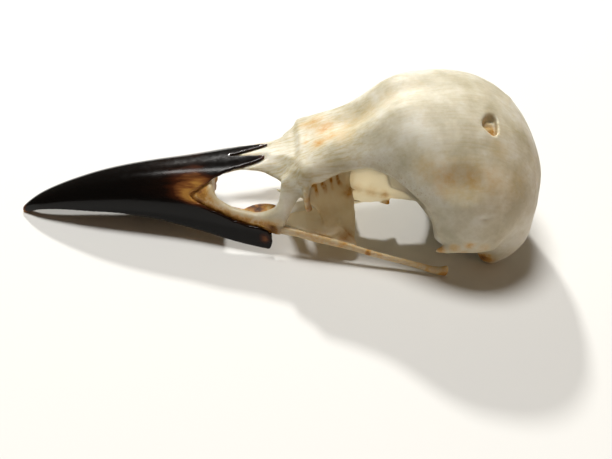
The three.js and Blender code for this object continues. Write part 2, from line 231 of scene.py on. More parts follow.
class Block:
    """A box of evenly spaced points, each holding its distance to the form that grows in the box,
    negative inside the form."""

    def __init__(self, spacing, low, high):
        self.spacing = spacing
        self.low = low
        self.axes = [np.arange(a, b, spacing, dtype=np.float32) for a, b in zip(low, high)]
        self.form = np.full([len(axis) for axis in self.axes], FAR, np.float32)

    def within(self, low, high):
        """The part between two corners: its slices, and its x, y and z to reckon with."""
        spans = tuple(slice(*np.searchsorted(axis, ends))
                      for axis, ends in zip(self.axes, zip(low, high)))
        x, y, z = (axis[span] for axis, span in zip(self.axes, spans))
        return spans, (x[:, None, None], y[None, :, None], z[None, None, :])

    def grow(self, low, high, shape, fillet):
        """Adds a form, reckoned between two corners."""
        spans, place = self.within(low, high)
        self.form[spans] = united(self.form[spans], shape(*place).astype(np.float32), fillet)

    def carve(self, low, high, shape, fillet):
        """Takes a form away, reckoned between two corners."""
        spans, place = self.within(low, high)
        self.form[spans] = common(self.form[spans], -shape(*place).astype(np.float32), fillet)

    def grow_strand(self, rows, fillet, mirrored=(1, -1)):
        """Adds a rod through [x, y, z, and its three radii], which are given on the left side:
        1 grows it there, and -1 grows its twin on the right."""
        length = np.linalg.norm(np.diff(np.array(rows)[:, :3], axis=0), axis=1).max()
        beads = curved(rows, max(2, int(length / (self.spacing * 0.9))), closed=False)
        sizes = beads[:, 3:]
        for side in mirrored:
            centres = beads[:, :3] * (1, side, 1)
            spans, (x, y, z) = self.within((centres - sizes).min(0) - FAR,
                                           (centres + sizes).max(0) + FAR)
            rod = np.full(self.form[spans].shape, FAR, np.float32)
            for centre, radii in zip(centres, sizes):
                box = zip((x, y, z), centre - radii - FAR / 2, centre + radii + FAR / 2)
                near = tuple(slice(*np.searchsorted(axis.ravel(), ends)) for axis, *ends in box)
                place = (x[near[0]], y[:, near[1]], z[:, :, near[2]])
                rod[near] = np.minimum(rod[near], ellipsoid(place, centre, radii))
            self.form[spans] = united(self.form[spans], rod, fillet)


# ---- the bill ---------------------------------------------------------------------------------

# The bay in the horn's back edge in front of the nostril, above the long prong on the cutting edge.
HORN_BAY = [(29.9, 8.9), (31, 9.9), (32.2, 11), (33.4, 20), (62, 20), (62, 4.8), (45, 4.75),
            (43.2, 5), (40.2, 5.2), (37.4, 5.95), (34.8, 6.6), (32.5, 7.3), (30.8, 8)]
# The two upper prongs of the horn, with the slot between them along the ridge.
PRONG_HALF = through([[28, 6], [32.7, 5.0], [34.6, 4.4], [36.5, 3.8], [38.9, 3.35], [40.6, 3.0],
                      [42.4, 2.6], [43.2, 2.1], [46, 2]])
PRONG_END_X = {"left": 43.2, "right": 43.9}
SLOT_Y = 0.15
SLOT_START_X, SLOT_START_HALF, SLOT_WIDENS = 37.2, 0.05, 0.24
# The long prong on the cutting edge ends bluntly: its heights, and how far its middle stands out.
LONG_PRONG = {"middle": 2.6, "half": 1.2, "low": 0.5, "high": 4.7, "bulge": 0.3}
NOSTRIL = rounded([(34.1, 10.6), (34.9, 11.6), (36.3, 12.4), (37, 20), (62, 20), (62, 9.4),
                   (47.5, 8.8), (46.2, 8.3), (45, 8.0), (43.3, 7.6), (40.9, 7.4), (38.2, 7.5),
                   (36.4, 8), (35.2, 8.9), (34.5, 9.8)])


def bill(x, y, z):
    """Distance to the outside of the whole bill. Its right edge is broken off behind."""
    chipped = np.where(y > 0, CHIP_DEPTH * step_between(*CHIP_STARTS_X, x), 0)
    wide, low, top = BILL_HALF_WIDTH(x), TOMIUM_Z(x), CULMEN_Z(x)
    sideways = (np.abs(y) / wide) ** (1 / RIDGE_SHARPNESS)
    upward = (np.maximum(z - low, 0) / (top - low)) ** (1 / FLANK_SHARPNESS)
    arch = level(np.sqrt(sideways ** 2 + upward ** 2) - 1, x)
    rise = PALATE_RISE * np.minimum(x / PALATE_RISES_OVER, 1) * (top - low)
    roof = low + rise * (1 - np.minimum(np.abs(y) / wide, 1) ** 2)
    mouth = (np.maximum(roof, low + chipped) - z) * PALATE_STEEPNESS
    return common(common(arch, mouth, 0.25), -x, 0.3)


def horn_reach(x, y, z):
    """How far each place lies inside the horn's back edge."""
    behind_bay = outlined(x, z, HORN_BAY)
    aside = np.abs(y - SLOT_Y)
    slot = np.maximum(aside - SLOT_START_HALF - SLOT_WIDENS * (x - SLOT_START_X), SLOT_START_X - x)
    end = np.where(y < 0, PRONG_END_X["left"], PRONG_END_X["right"]) - x
    upper_prong = np.minimum(PRONG_HALF(x) - aside, end)
    joined = -united(-behind_bay, -upper_prong, 0.4)
    up = np.clip(z, LONG_PRONG["low"], LONG_PRONG["high"]) - LONG_PRONG["middle"]
    blunt_end = SHEATH_END_X - LONG_PRONG["bulge"] * (up / LONG_PRONG["half"]) ** 2 - x
    return np.minimum(np.minimum(joined, slot), blunt_end)


def horn_thickness(reach):
    thickening = step_between(0, SHEATH_THINS_OVER, reach)
    return SHEATH_EDGE_THICK + (SHEATH_THICK - SHEATH_EDGE_THICK) * thickening


def mouth_opening(half, top, front):
    """The room under the palate, behind front and below top, half on each side of the middle."""
    return lambda x, y, z: np.maximum(np.maximum(np.abs(y) - half, z - top), front - x)


def horn_sheath_form():
    """The horn over the bill, thinning to its ragged back edge."""
    block = Block(FINE_GRID, (-0.9, -12.3, -0.9), (46.2, 12.3, 16.5))
    spans, place = block.within((-2, -14, -2), (50, 14, 20))
    outside = bill(*place)
    reach = horn_reach(*place)
    ragged = reach + 0.10 * ripples(place, 1.7, 5) + 0.05 * ripples(place, 0.7, 6)
    shell = common(outside, -outside - horn_thickness(reach), 0.08)
    made = common(shell, -ragged, 0.15)
    made = common(made, -mouth_opening(half=5.6, top=7.2, front=31)(*place), 0.3)
    block.form[spans] = made
    return block


# The bridge over the nostrils, as a section that changes along it.
BRIDGE = {
    "ridge_half": through([[30, 1.4], [35.8, 1.6], [44, 2], [46, 2.4], [47.7, 4.4], [49.7, 7.4],
                           [51, 8.2]], 0.4),
    "ridge_z": through([[30, 11.5], [35.8, 12.9], [40, 13.8], [43, 14.6], [46, 15.5],
                        [48.8, 16.5], [51, 16.7]], 0.4),
    "edge_half": through([[30, 2.6], [35.8, 3.2], [40, 3.6], [43, 4.3], [46, 6.3], [49.7, 8.8],
                          [51, 9]], 0.4),
    "edge_z": through([[30, 10], [35.8, 11.1], [39, 12.3], [42.7, 12.5], [45, 12.1],
                       [46.5, 12.1], [49.4, 13.7], [51, 13.5]], 0.4),
    "underside_z": through([[30, 10], [35.8, 11], [40, 12.2], [44, 13], [49.7, 14.8],
                            [51, 15]], 0.4),
}


def nasal_bridge(x, y, z):
    """The bone over the nostrils, a ridge that widens into the bend on the forehead."""
    ridge, top, edge, edge_z, under = (curve(x) for curve in BRIDGE.values())
    left = [(edge - 0.1, edge_z + 0.5), (edge, edge_z + 0.9),
            ((edge + ridge) / 2 + 0.15, (edge_z + top + 0.9) / 2 + 0.15), (ridge, top - 0.05)]
    right = [(-aside, up) for aside, up in reversed(left)]
    return outlined(y, z, left + right + [(-ridge, under), (ridge, under)]) - 0.12


def bill_bone(block):
    """The bony core of the bill, the plates below the nostrils and the bridge over them."""
    spans, place = block.within((4.5, -13, -1), (51, 13, 19))
    x, y, z = place
    outside = bill(*place)
    reach = horn_reach(*place)
    under_horn = horn_thickness(reach) + CORE_GAP
    sunk = np.where(reach > 0, under_horn, under_horn - CORE_STEP * step_between(0, 0.8, -reach))
    core = outside + sunk
    core = common(core, -np.maximum(core + CORE_WALL, CORE_HOLLOW_FROM_X - x), 0.5)
    nose_tunnel = ball((40.8, 0, 10.3), (6.6, 30, 3.1))
    core = common(core, -nose_tunnel(*place), 0.5)
    ragged = 0.1 * ripples(place, 2.2, 11) + 0.07 * ripples(place, 0.8, 12)
    core = common(core, -(outlined(x, z, NOSTRIL) + ragged), 0.3)
    core = common(core, -mouth_opening(half=5.8, top=6.9, front=33)(*place), 0.5)
    core = common(core, -mouth_opening(half=6.0, top=9.4, front=35.1)(*place), 0.4)
    open_behind = np.maximum(z - 4.1, 43.9 - x)
    core = common(core, -open_behind, 0.4)
    core = common(core, np.maximum(x - CORE_END_X, CORE_START_X - x), 0.6)
    made = united(core, common(nasal_bridge(*place), x - 51.3, 0.5), 0.7)
    made = common(made, outside + sunk - 4 * step_between(43.6, 47, x), 0.1)
    block.form[spans] = united(block.form[spans], made.astype(np.float32), 0.9)


# ---- the cranium ------------------------------------------------------------------------------


def cranium(x, y, z):
    """The whole cranium, as a stack of ovals, with the forehead's groove between two crests."""
    across = np.abs(y) / CROWN_HALF_WIDTH(x)
    waist, top, base = WAIST_Z(x), CROWN_Z(x), BASE_Z(x)
    crown_n, base_n = CROWN_ROUNDNESS(x), BASE_ROUNDNESS(x)
    crest = np.exp(-((np.abs(y) - CREST_HALF_GAP) / CREST_WIDTH) ** 2)
    lift = GROOVE_DEPTH(x) * (0.5 * crest - 0.6 * np.exp(-(y / CREST_WIDTH) ** 2))
    share = np.clip((z - waist) / (top - waist), 0, 1)
    raised = np.maximum(z - lift * share ** 1.4 - waist, 0) / (top - waist)
    upper = (across ** crown_n + raised ** crown_n) ** (1 / crown_n)
    lowered = np.maximum(waist - z, 0) / (waist - base)
    lower = (across ** base_n + lowered ** base_n) ** (1 / base_n)
    return np.clip(level(np.where(z > waist, upper, lower) - 1, x), -FAR, FAR)


EYE_CENTRE, EYE_RADII = (61.3, 13, 8), (11.4, 12.5, 9.6)


def eye_socket(x, y, z):
    """The hollow for each eye, flattened towards the thin wall between the two."""
    along, out, up = ((p - c) / r for p, c, r in zip((x, np.abs(y), z), EYE_CENTRE, EYE_RADII))
    inward = np.clip(-out, 0, 1)
    flat = 1 - 0.75 * step_between(0.25, 0.6, inward) * (1 - step_between(0.8, 1, inward))
    return level(np.sqrt(along ** 2 + out ** 2 * flat + up ** 2) - 1, x)


# The rim of the eye socket from the side, and how far out from the middle it lies.
SOCKET_RIM = [(51.2, 12.4), (52.5, 13.8), (53.4, 14.4), (54.6, 15.4), (55.9, 16.3), (57.1, 16.8),
              (58.2, 17.3), (59.3, 17.7), (60.3, 18), (61.2, 18.05), (62.2, 17.9), (63.4, 17.7),
              (64.5, 17.5), (65.5, 17.1), (66.3, 16.7), (67.1, 16.25), (67.9, 15.75),
              (68.9, 15.3), (69.9, 14.7), (70.6, 13.8), (71.1, 12.9), (71.4, 11.8), (71.9, 10.5),
              (72.3, 9.5), (72.6, 8), (73, 6), (73.4, 2), (73.4, -2), (50, -2), (50.4, 10)]
RIM_Y = through([[50, 8.4], [53, 8.5], [56, 8.8], [59.3, 9.3], [61.2, 9.9], [63.4, 11],
                 [65.5, 12.4], [67, 13.7], [69, 15.1], [70.6, 16.2], [71.4, 16.5], [74, 16.5]])


def socket_rim(x, y, z):
    """The cut that gives the rim its outline, closing again further in."""
    deeper = np.maximum(RIM_Y(x) - np.abs(y), 0)
    closing = 0.55 * deeper + 4 * step_between(4, 7, deeper)
    return outlined(x, z, SOCKET_RIM) + closing + 0.06 * ripples((x, y, z), 1.3, 31)


FRONT_WALL = rounded([(50.35, 14), (50.4, 9.9), (51.4, 8.9), (52.8, 7), (54.9, 4.2), (57, 2.5),
                      (59.2, 2.3), (59.9, 4.5), (59.5, 7.2), (58.7, 10), (58.4, 14)])
SEPTUM = [(50.4, 15), (50.4, 8.3), (54, 6.6), (57.7, 5.2), (58.6, 4.3), (59.9, 3.6), (62.2, 4.15),
          (64.6, 4.4), (66.5, 4.1), (66.8, 5.5), (69, 5.3), (71, 5), (73, 4.3), (75, 3.2), (77, 3),
          (77, 15)]
ROSTRUM_Z = through([[50, 9], [57.2, 7.9], [66.1, 5.9], [72, 5.7], [77, 4.5]], 0.6)


def septum(x, y, z):
    """The upright wall between the eyes, with a rib near its broken lower edge."""
    half = SEPTUM_HALF + 0.45 * np.exp(-((z - ROSTRUM_Z(x)) / 0.6) ** 2)
    edge = outlined(x, z, SEPTUM) + 0.12 * ripples((x, 0, z), 1.4, 35)
    return common(np.abs(y) - half, edge, 0.3)


def front_wall(x, y, z):
    """The hollow wall in front of each eye, a thin dish with a broken back edge."""
    dish = ball((62, -13, 13), (12.85, 12.55, 10.85))(x, y, z)
    plate = np.abs(dish) - FRONT_WALL_HALF
    edge = outlined(x, z, FRONT_WALL) + 0.12 * ripples((x, y, z), 1.9, 33)
    return common(plate, np.maximum(edge, np.abs(y) - 11.9), 0.4)


PALATINE = rounded([(35, -5.2), (40, -6.2), (45.2, -7.5), (47.9, -9.1), (49.6, -10.3),
                    (53, -11.3), (55.4, -11.2), (56.6, -9.5), (57.2, -5), (57.2, -1.2),
                    (55.6, -1.6), (52, -4), (48.1, -5.6), (45.2, -6.9), (40, -4.8), (35, -3.4)])
RIGHT_PALATINE_FROM_X = 47.5


def palatine(x, y, z):
    """The thin plates of the palate, sinking a little towards the cheek bars."""
    middle_z = 5.2 - 0.35 * step_between(6, 11, np.abs(y)) * step_between(48, 54, x)
    plate = common(np.abs(z - middle_z) - PALATINE_HALF, outlined(x, -np.abs(y), PALATINE), 0.3)
    return np.maximum(plate, np.where(y > 0, RIGHT_PALATINE_FROM_X - x, -FAR))


PALATE_SHELF = rounded([(38, -8), (38.5, -6.9), (39.7, -6.1), (41.5, -5), (43.4, -4.5),
                        (45.3, -4.8), (46.4, -6), (46.8, -8)])


def palate_shelf(x, y, z):
    """A tilted shelf of the palate, whole on the left side only."""
    plate = np.abs(z - 6.3 - 0.12 * (y + 6)) - PALATE_SHELF_HALF
    return common(plate, outlined(x, y, PALATE_SHELF), 0.25)


# Strands of bone: [x, y, z, and their radii along x, y and z], on the left side.
WING = [[84.2, -11.3, 0.5, 1.0, 1.1, 0.6], [84, -11.8, 2, 2.3, 1.5, 1.5],
        [84.6, -12.1, 4.2, 3.5, 2.2, 2], [85.6, -11.8, 7.5, 3.9, 3.1, 2.5],
        [85.2, -10.6, 12, 4.2, 4.2, 3]]
SPUR = [[81.5, -16.4, 8.6, 1.6, 1.4, 1.9], [79, -17.0, 8.3, 1.2, 0.9, 1.8],
        [76.4, -17.2, 7.9, 0.9, 0.6, 1.4], [74.8, -17.1, 7.3, 0.7, 0.42, 1.1],
        [73.4, -16.9, 6.8, 0.5, 0.33, 0.75], [72.6, -16.7, 6.4, 0.3, 0.28, 0.4]]
FOOT = [[56.6, -9.5, 4.6, 1.0, 0.45, 1.0], [57.9, -10.2, 3.4, 1.1, 0.5, 0.8],
        [58.7, -10.8, 2.8, 1.0, 0.5, 0.6]]
NASAL_BAR = [[48.6, -6.9, 14.4, 1.2, 0.7, 0.9], [47.9, -7.6, 13.2, 1.9, 0.6, 1.1],
             [47.6, -8.2, 11.7, 1.8, 0.6, 1.2], [47.1, -8.8, 9.9, 1.5, 0.6, 1.3],
             [46.3, -9.2, 8.2, 1.5, 0.6, 1.2], [45.4, -9.4, 6.6, 1.6, 0.6, 1.2]]
# The right one lies 0.5 mm lower and is nowhere thicker than 1.3 mm along x.
RIGHT_NASAL_BAR = [[x, y, z - 0.5, min(along, 1.3), *others]
                   for x, y, z, along, *others in NASAL_BAR]
WALL_EDGE = [[50.5, -8.6, 13.2, 0.5, 0.5, 0.8], [50.5, -9.4, 11.8, 0.45, 0.5, 0.8],
             [50.6, -9.8, 10.4, 0.5, 0.5, 0.8], [50.9, -9.9, 9.6, 0.7, 0.5, 0.7]]
SPICULE = [[47.4, -8.0, 11.0, 0.6, 0.4, 0.5], [46.3, -7.4, 11.2, 0.5, 0.3, 0.4],
           [45, -7.1, 11.5, 0.4, 0.22, 0.3], [43.3, -7, 11.4, 0.25, 0.16, 0.2]]
SLIVER_HIGH = [[57.4, -2.6, 9.0, 0.4, 0.25, 0.35], [60.2, -1.6, 7.9, 0.4, 0.22, 0.25],
               [63.4, -1.2, 6.9, 0.4, 0.2, 0.22], [66.2, -1.0, 6.2, 0.3, 0.2, 0.2]]
SLIVER_LOW = [[57.4, -3.4, 8.0, 0.35, 0.3, 0.35], [58.9, -2.4, 6.4, 0.35, 0.3, 0.35],
              [61.5, -1.4, 5.2, 0.4, 0.25, 0.25], [64.6, -1.0, 4.9, 0.4, 0.25, 0.25],
              [66.4, -0.8, 4.7, 0.4, 0.4, 0.4]]
JUGAL = [[43.8, -9.5, 5.1, 0.8, 0.5, 0.9], [47.5, -10.5, 5.0, 0.7, 0.45, 0.8],
         [49.6, -11, 4.85, 0.7, 0.45, 0.72], [53, -11.7, 4.35, 0.6, 0.45, 0.8],
         [57.6, -12.5, 3.7, 0.5, 0.4, 0.68], [62, -13.4, 2.9, 0.5, 0.4, 0.6],
         [66.6, -14.2, 2.15, 0.5, 0.42, 0.58], [70.2, -15, 1.7, 0.5, 0.45, 0.62],
         [72.3, -15.4, 1.3, 0.55, 0.5, 0.68], [74.0, -15.7, 1.15, 0.6, 0.5, 0.85],
         [75.1, -15.95, 1.4, 0.5, 0.42, 1.15]]
# A broken window in the roof of the braincase, from above.
ROOF_HOLE = rounded([(78.7, -7.6), (79.2, -6.8), (79.9, -6.2), (81, -6.2), (81.1, -8),
                     (80.9, -9.6), (80.2, -10.3), (79.5, -10), (78.6, -9.3), (78.4, -8.4)], 2)


NECK_LINE_HEIGHT, NECK_LINE_HALF = 0.12, 0.7
NECK_HOLE_X, NECK_HOLE_Z, NECK_HOLE_TURN, NECK_HOLE_RADII = 89.4, 7.6, 0.6, (4, 2.9, 2.4)


def neck_line(x, y, z):
    """The faint line round the back of the head where the neck's muscles ended, raised a little."""
    off_line = x - 81.7 - 0.4245 * np.abs(y) - 0.111 * z
    return NECK_LINE_HEIGHT * np.exp(-(off_line / NECK_LINE_HALF) ** 2) * step_between(10, 15, z)


def neck_hole(x, y, z):
    """The hole for the spinal cord, which opens backwards and down."""
    back, up = x - NECK_HOLE_X, z - NECK_HOLE_Z
    cos, sin = math.cos(NECK_HOLE_TURN), math.sin(NECK_HOLE_TURN)
    turned = (back * cos - up * sin, y, back * sin + up * cos)
    return (np.sqrt(sum((p / r) ** 2 for p, r in zip(turned, NECK_HOLE_RADII))) - 1) * 2.8


def under_table(x, y, z):
    """Everything below the table's top, where the bone is worn flat."""
    return z


def skull_bone_form():
    """The bones that have grown together: all but the cheek bars."""
    block = Block(BONE_GRID, (4.8, -20.3, -1.2), (93.4, 20.3, 30.4))
    spans, place = block.within((48.2, -20.5, -1.2), (93.6, 20.5, 30.6))
    x, y, z = place
    dome = cranium(*place) - neck_line(*place)
    dome = dome + 0.10 * ripples(place, 14, 21) + 0.03 * ripples(place, 4.5, 22)
    hole = np.maximum(outlined(x, y, ROOF_HOLE) + 0.1 * ripples(place, 0.9, 24), 20 - z)
    floor_of_hole = -(dome + ROOF_HOLE_DEPTH + 0.4 * ripples(place, 1.1, 23))
    dome = common(dome, -np.maximum(hole, floor_of_hole), 0.08)
    roof_under = 13.5 - 16 * step_between(64, 70, x) - z
    dome = common(dome, roof_under, 0.8)
    dome = common(dome, np.maximum(CRANIUM_START_X - x, x - CRANIUM_END_X), 0.5)
    beside_palate = ball((64, -9, 3), (10.5, 10, 8))
    dome = common(dome, -beside_palate(*place), 0.8)
    under_palate = ball((61.5, 0, -1), (14, 17, 10))
    dome = common(dome, -under_palate(*place), 0.8)
    dome = common(dome, -eye_socket(*place), 0.45)
    dome = common(dome, -socket_rim(*place), 0.35)
    block.form[spans] = united(dome, septum(*place), 0.9)

    block.grow((47, -13, 1), (62, 13, 15), front_wall, 0.7)
    bill_bone(block)
    block.grow_strand(NASAL_BAR, 1.8, mirrored=(1,))
    block.grow_strand(RIGHT_NASAL_BAR, 1.0, mirrored=(-1,))
    block.grow((33, -12, 3), (68, 12, 8), palatine, 0.3)
    block.grow((36, -9, 4), (48, -2, 8), palate_shelf, 0.3)
    block.grow_strand(WING, 2.2)
    block.grow_strand(SPUR, 0.8)
    block.grow_strand(FOOT, 0.8)
    neck_joint = ball((86.6, 0, 4.4), (1.5, 1.4, 1.3))
    block.grow((84, -3, 2), (90, 3, 7), neck_joint, 0.6)
    block.grow_strand(WALL_EDGE, 0.5)
    block.grow_strand(SPICULE, 0.3, mirrored=(1,))
    block.grow_strand(SLIVER_HIGH, 0.2)
    block.grow_strand(SLIVER_LOW, 0.2)

    ear = ball((77.4, -14, 2.6), (3.2, 5, 3.6))
    block.carve((73, -20, -1), (82, 20, 8), ear, 0.9)
    block.carve((83, -6, 0), (93.6, 6, 14), neck_hole, 0.5)
    temple_dent = ball((73.5, -19.4, 21.5), (5.5, 4.2, 4.2))
    block.carve((66, -20.5, 12), (82, 20.5, 28), temple_dent, 1.5)
    left_pit = ball((79.2, -19, 14.8), (1.4, 0.55, 0.35), paired=False)
    block.carve((76, -20.5, 12), (82, -17, 17), left_pit, 0.2)
    block.carve((60, -20.5, -1.2), (93.6, 20.5, 2), under_table, 0.15)
    return block


def cheek_bar_form(side):
    """The bar under the eye: side is -1 on the left and 1 on the right."""
    low, high = sorted((8.5 * side, 17.5 * side))
    block = Block(FINE_GRID, (42.6, low, -0.9), (76.5, high, 7.4))
    block.grow_strand(JUGAL, 0, mirrored=(-side,))
    block.carve((42, -20, -1), (77, 20, 2), under_table, 0.15)
    return block


# ---- from blocks to meshes --------------------------------------------------------------------


SMOOTHING_ROUNDS = 5
SMOOTHING_PUSHES = (0.5, -0.53)  # towards the neighbours, and back a little further


def eased(form):
    """The form with the grid's own stairs smoothed away."""
    for axis in range(3):
        ahead, behind = np.roll(form, -1, axis), np.roll(form, 1, axis)
        form = 0.5 * form + 0.25 * (ahead + behind)
    return form


def edges_of(quads):
    return np.vstack([quads[:, [i, (i + 1) % 4]] for i in range(4)])


def biggest_part(points, quads):
    """Only the largest connected skin, without loose crumbs."""
    label = np.arange(len(points))
    ends, others = edges_of(quads).T
    while True:
        least = np.minimum(label[ends], label[others])
        fresh = label.copy()
        np.minimum.at(fresh, ends, least)
        np.minimum.at(fresh, others, least)
        fresh = fresh[fresh]
        if (fresh == label).all():
            break
        label = fresh
    names, counts = np.unique(label[quads[:, 0]], return_counts=True)
    kept = quads[label[quads[:, 0]] == names[counts.argmax()]]
    used, renumbered = np.unique(kept, return_inverse=True)
    return points[used], renumbered.reshape(kept.shape)


def soothed(points, quads):
    """Points moved towards their neighbours and back again, which takes ripples out, not volume."""
    ends, others = edges_of(quads).T
    size = len(points)
    counts = np.bincount(ends, minlength=size) + np.bincount(others, minlength=size)
    for push in SMOOTHING_PUSHES * SMOOTHING_ROUNDS:
        total = np.stack([np.bincount(ends, points[others, k], size)
                          + np.bincount(others, points[ends, k], size) for k in range(3)], 1)
        points = points + push * (total / counts[:, None] - points)
    return points


def skin(name, block):
    """The surface of a block's form as a smooth Blender mesh, and its points in mm."""
    grid = openvdb.FloatGrid(1.0)
    near = np.clip(eased(block.form) / block.spacing, -1, 1).astype(np.float32)
    grid.copyFromArray(near, tolerance=0.0)
    points, _, quads = grid.convertToPolygons(isovalue=0.0, adaptivity=0.0)
    points, quads = biggest_part(points, quads)
    at = soothed(points.astype(float), quads) * block.spacing + np.array(block.low)
    mesh = bpy.data.meshes.new(name)
    mesh.vertices.add(len(at))
    mesh.vertices.foreach_set("co", ((at - (MIDDLE_X, 0, 0)) * MM).astype(np.float32).ravel())
    mesh.loops.add(quads.size)
    mesh.loops.foreach_set("vertex_index", quads.astype(np.int32).ravel())
    mesh.polygons.add(len(quads))
    mesh.polygons.foreach_set("loop_start", np.arange(0, quads.size, 4, dtype=np.int32))
    mesh.update(calc_edges=True)
    mesh.validate()
    mesh.shade_smooth()
    piece = bpy.data.objects.new(name, mesh)
    bpy.context.scene.collection.objects.link(piece)
    return piece, at


def paint(piece, name, values):
    """Keeps a number for each point of the mesh, for the material to read."""
    layer = piece.data.attributes.new(name, "FLOAT", "POINT")
    layer.data.foreach_set("value", np.asarray(values, np.float32))


# ---- materials --------------------------------------------------------------------------------

# The thin colour is partly painted light: it paints the glow of light through thin walls, and it
# brightens walls that sit in shade.
CREAM = {"dull": "#b3ab91", "plain": "#c5bea8", "bleached": "#d3cfc0", "thin": "#fbf4e2"}
STAIN_AND_SHADE_COLOURS = {"light": "#d8c083", "ochre": "#c0903f", "orange": "#966220", "brown": "#5e3612",
         "dark": "#2a180d"}
HORN_SHADE = {"black": "#0a0807", "deep": "#160c08", "red brown": "#3f1f10", "brown": "#80502a",
              "amber": "#b0803f"}


def colour(sheet):
    """An sRGB hex value as the linear colour that Blender reckons with."""
    parts = [int(sheet[i:i + 2], 16) / 255 for i in (1, 3, 5)]
    return (*[p / 12.92 if p <= 0.04045 else ((p + 0.055) / 1.055) ** 2.4 for p in parts], 1)


def add(material, kind, inputs=None, stops=None, **settings):
    """Adds one node. An input is a value or another node's output; stops fill a colour ramp.
    Mix takes its share as 0 and two colours as 6 and 7; MapRange goes from 1..2 to 3..4."""
    made = material.node_tree.nodes.new("ShaderNode" + kind)
    for name, value in settings.items():
        setattr(made, name, value)
    for name, value in (inputs or {}).items():
        if isinstance(value, bpy.types.NodeSocket):
            material.node_tree.links.new(value, made.inputs[name])
        else:
            made.inputs[name].default_value = value
    if stops:
        ramp = made.color_ramp.elements
        while len(ramp) < len(stops):
            ramp.new(0.5)
        for element, (position, shade) in zip(ramp, stops):
            element.position = position
            element.color = colour(shade)
    return made


def new_material(name):
    material = bpy.data.materials.new(name)
    material.use_nodes = True
    material.node_tree.nodes.clear()
    return material


def finish_material(material, surface):
    add(material, "OutputMaterial", {"Surface": surface})
    return material


